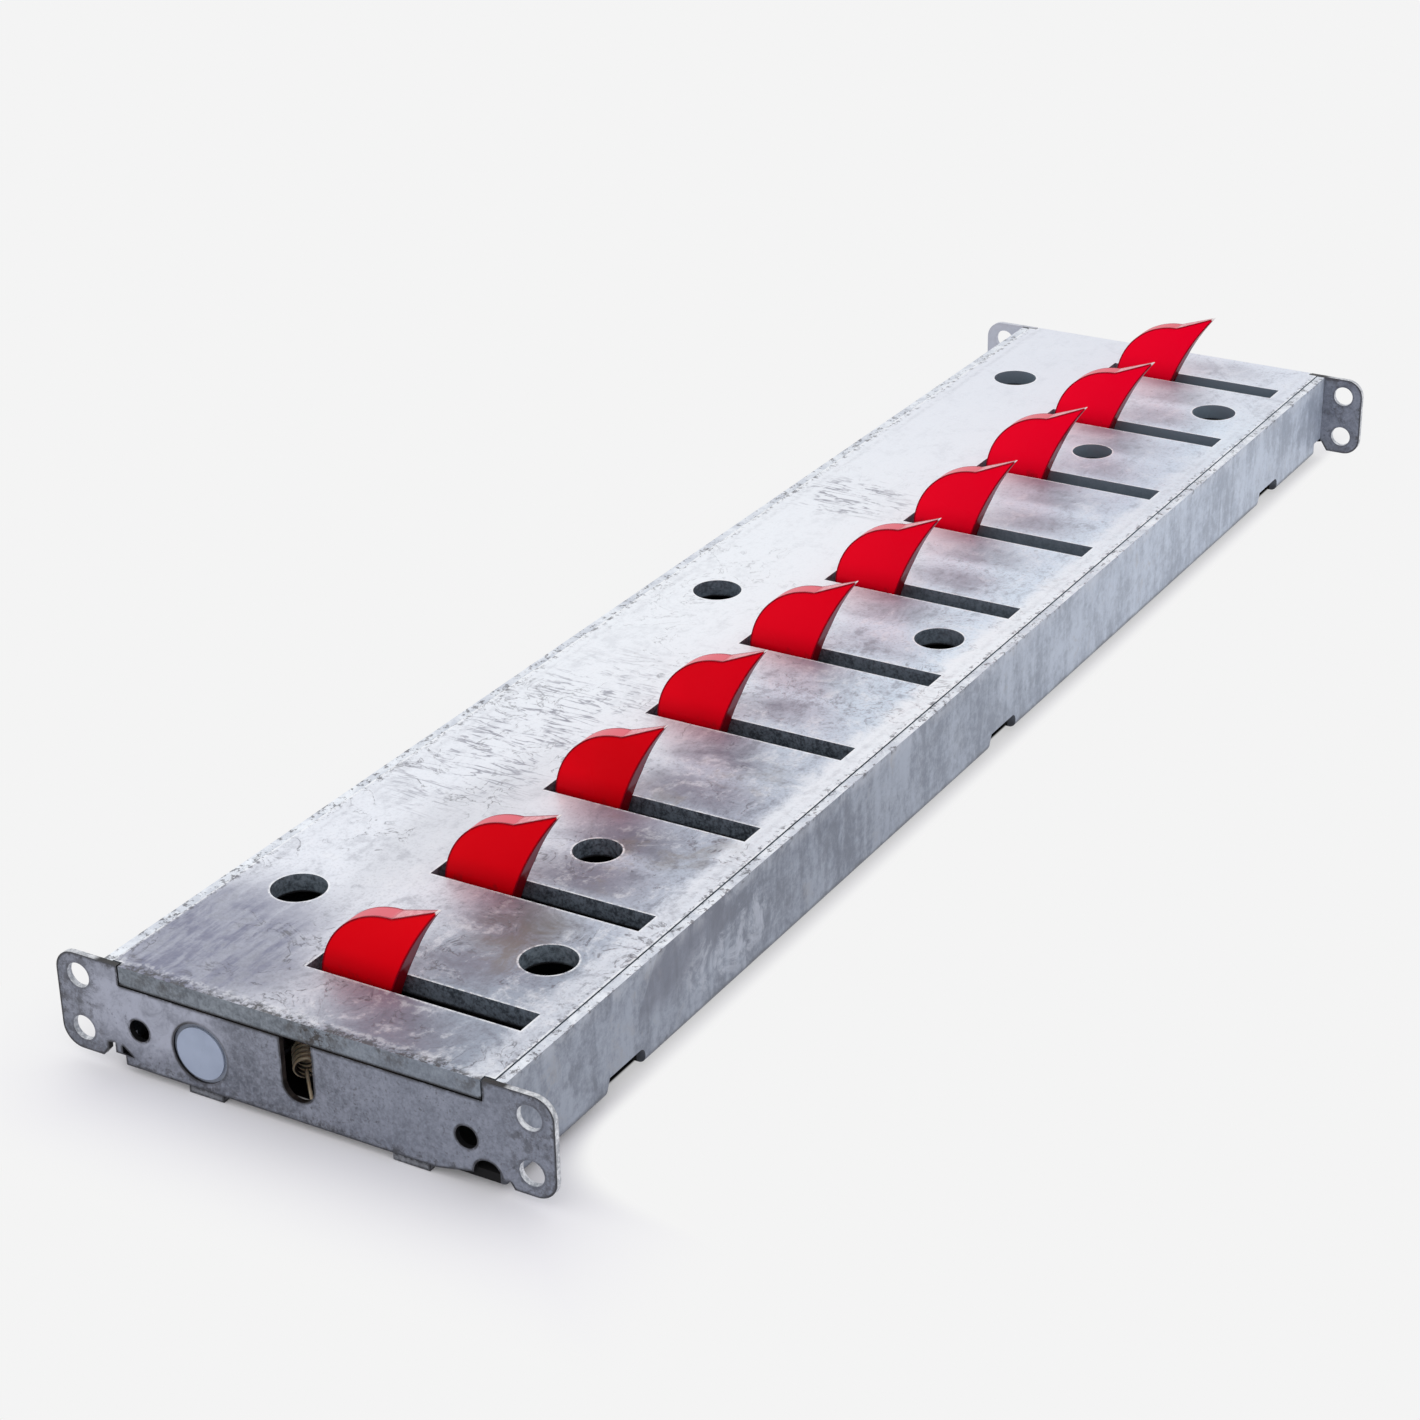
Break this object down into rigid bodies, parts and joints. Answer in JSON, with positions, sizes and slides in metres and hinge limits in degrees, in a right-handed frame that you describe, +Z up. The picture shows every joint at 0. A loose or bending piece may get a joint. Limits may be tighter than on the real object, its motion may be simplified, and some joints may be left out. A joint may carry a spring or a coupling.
{
  "type": "tyre spike strip",
  "caption": "Low surface-mounted steel module with a row of sprung claw teeth that fold flush under wheels going one way and stand up against tyres coming the other way.",
  "frame": {"origin": "centre of the footprint, on the road surface", "axes": "+X along the strip from the near end plate to the far one, -Y the way the tooth tips point, +Z up"},
  "size_m": [1, 0.277, 0.108],
  "materials": {
    "cover_steel": "hot-dip galvanised, mottled and scuffed",
    "channel_steel": "hot-dip galvanised, dull and mottled",
    "end_plate_steel": "hot-dip galvanised, dark matt grey",
    "foot_steel": "hot-dip galvanised, dark",
    "rib_steel": "hot-dip galvanised, dull",
    "shaft_steel": "zinc plated",
    "bush_nylon": "smooth white-grey nylon",
    "sleeve_nylon": "smooth natural nylon",
    "collar_steel": "blackened",
    "tooth_paint": "gloss red enamel on forged steel",
    "spring_wire": "yellow-passivated spring wire"
  },
  "bodies": {
    "housing": {"cover_plate": "cover_steel", "side_channel_left": "channel_steel", "side_channel_right": "channel_steel", "end_plate_near": "end_plate_steel", "end_plate_far": "end_plate_steel", "foot_strip_left": "foot_steel", "foot_strip_right": "foot_steel", "pivot_shaft": "shaft_steel", "end_bush_near": "bush_nylon", "end_bush_far": "bush_nylon", "pivot_sleeves": "sleeve_nylon", "shaft_collars": "collar_steel", "rib_1": "rib_steel", "rib_2": "rib_steel", "rib_3": "rib_steel", "rib_4": "rib_steel", "rib_5": "rib_steel", "rib_6": "rib_steel", "rib_7": "rib_steel", "rib_8": "rib_steel", "rib_9": "rib_steel", "return_spring_1": "spring_wire", "return_spring_2": "spring_wire", "return_spring_3": "spring_wire", "return_spring_4": "spring_wire", "return_spring_5": "spring_wire", "return_spring_6": "spring_wire", "return_spring_7": "spring_wire", "return_spring_8": "spring_wire", "return_spring_9": "spring_wire", "return_spring_10": "spring_wire"},
    "tooth_body_1": {"tooth_1": "tooth_paint"},
    "tooth_body_2": {"tooth_2": "tooth_paint"},
    "tooth_body_3": {"tooth_3": "tooth_paint"},
    "tooth_body_4": {"tooth_4": "tooth_paint"},
    "tooth_body_5": {"tooth_5": "tooth_paint"},
    "tooth_body_6": {"tooth_6": "tooth_paint"},
    "tooth_body_7": {"tooth_7": "tooth_paint"},
    "tooth_body_8": {"tooth_8": "tooth_paint"},
    "tooth_body_9": {"tooth_9": "tooth_paint"},
    "tooth_body_10": {"tooth_10": "tooth_paint"}
  },
  "joints": [
    {"name": "tooth_pivot_1", "type": "hinge", "parent": "housing", "child": "tooth_body_1", "pos_m": [-0.45, 0.056, 0.023], "axis": [1, 0, 0], "range_deg": [0, 26], "stiffness_Nm_per_rad": 2, "springref_deg": -14.32, "deforming": ["return_spring_1"]},
    {"name": "tooth_pivot_2", "type": "hinge", "parent": "housing", "child": "tooth_body_2", "pos_m": [-0.35, 0.056, 0.023], "axis": [1, 0, 0], "range_deg": [0, 26.5], "stiffness_Nm_per_rad": 2, "springref_deg": -14.32, "deforming": ["return_spring_2"]},
    {"name": "tooth_pivot_3", "type": "hinge", "parent": "housing", "child": "tooth_body_3", "pos_m": [-0.25, 0.056, 0.023], "axis": [1, 0, 0], "range_deg": [0, 27.9], "stiffness_Nm_per_rad": 2, "springref_deg": -14.32, "deforming": ["return_spring_3"]},
    {"name": "tooth_pivot_4", "type": "hinge", "parent": "housing", "child": "tooth_body_4", "pos_m": [-0.15, 0.056, 0.023], "axis": [1, 0, 0], "range_deg": [0, 27.9], "stiffness_Nm_per_rad": 2, "springref_deg": -14.32, "deforming": ["return_spring_4"]},
    {"name": "tooth_pivot_5", "type": "hinge", "parent": "housing", "child": "tooth_body_5", "pos_m": [-0.05, 0.056, 0.023], "axis": [1, 0, 0], "range_deg": [0, 27.9], "stiffness_Nm_per_rad": 2, "springref_deg": -14.32, "deforming": ["return_spring_5"]},
    {"name": "tooth_pivot_6", "type": "hinge", "parent": "housing", "child": "tooth_body_6", "pos_m": [0.05, 0.056, 0.023], "axis": [1, 0, 0], "range_deg": [0, 27.9], "stiffness_Nm_per_rad": 2, "springref_deg": -14.32, "deforming": ["return_spring_6"]},
    {"name": "tooth_pivot_7", "type": "hinge", "parent": "housing", "child": "tooth_body_7", "pos_m": [0.15, 0.056, 0.023], "axis": [1, 0, 0], "range_deg": [0, 27.9], "stiffness_Nm_per_rad": 2, "springref_deg": -14.32, "deforming": ["return_spring_7"]},
    {"name": "tooth_pivot_8", "type": "hinge", "parent": "housing", "child": "tooth_body_8", "pos_m": [0.25, 0.056, 0.023], "axis": [1, 0, 0], "range_deg": [0, 27.9], "stiffness_Nm_per_rad": 2, "springref_deg": -14.32, "deforming": ["return_spring_8"]},
    {"name": "tooth_pivot_9", "type": "hinge", "parent": "housing", "child": "tooth_body_9", "pos_m": [0.35, 0.056, 0.023], "axis": [1, 0, 0], "range_deg": [0, 26.5], "stiffness_Nm_per_rad": 2, "springref_deg": -14.32, "deforming": ["return_spring_9"]},
    {"name": "tooth_pivot_10", "type": "hinge", "parent": "housing", "child": "tooth_body_10", "pos_m": [0.45, 0.056, 0.023], "axis": [1, 0, 0], "range_deg": [0, 26], "stiffness_Nm_per_rad": 2, "springref_deg": -14.32, "deforming": ["return_spring_10"]}
  ]
}
